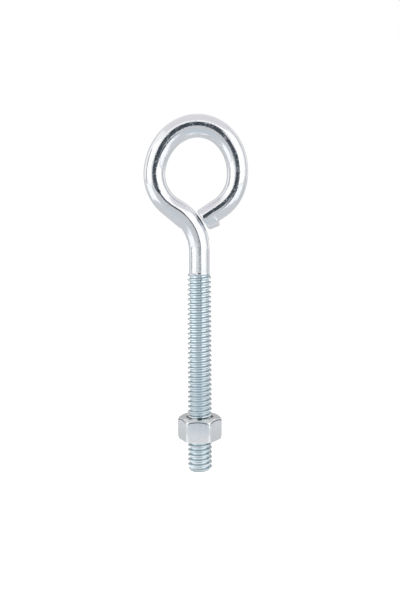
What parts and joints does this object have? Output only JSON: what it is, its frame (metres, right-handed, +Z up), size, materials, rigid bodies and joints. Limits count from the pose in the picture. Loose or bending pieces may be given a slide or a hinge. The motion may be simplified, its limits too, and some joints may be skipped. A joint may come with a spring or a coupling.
{
  "type": "eye bolt",
  "caption": "Turned eye bolt bent from one steel rod, with an open oval eye above a straight threaded shank and a plain hexagon nut on the thread.",
  "frame": {"origin": "centre of the threaded tip's flat end, on the axis of the shank", "axes": "+Z up along the shank towards the eye, the eye stands in the XZ plane so that its opening looks along Y, and the bend leaves the shank towards -X"},
  "size_m": [0.0266, 0.0106, 0.0919],
  "materials": {
    "zinc_plated_rod": "bright zinc plating with a faint blue tint, smooth on the bent rod and on the rolled thread",
    "zinc_plated_nut": "satin zinc plating, slightly duller than the rod"
  },
  "bodies": {
    "bolt": {"eye_bolt": "zinc_plated_rod"},
    "nut": {"hex_nut": "zinc_plated_nut"}
  },
  "joints": [
    {"name": "nut_travel", "type": "slide", "parent": "bolt", "child": "nut", "axis": [0, 0, 1], "range_m": [-0.01524, 0.03556]}
  ]
}
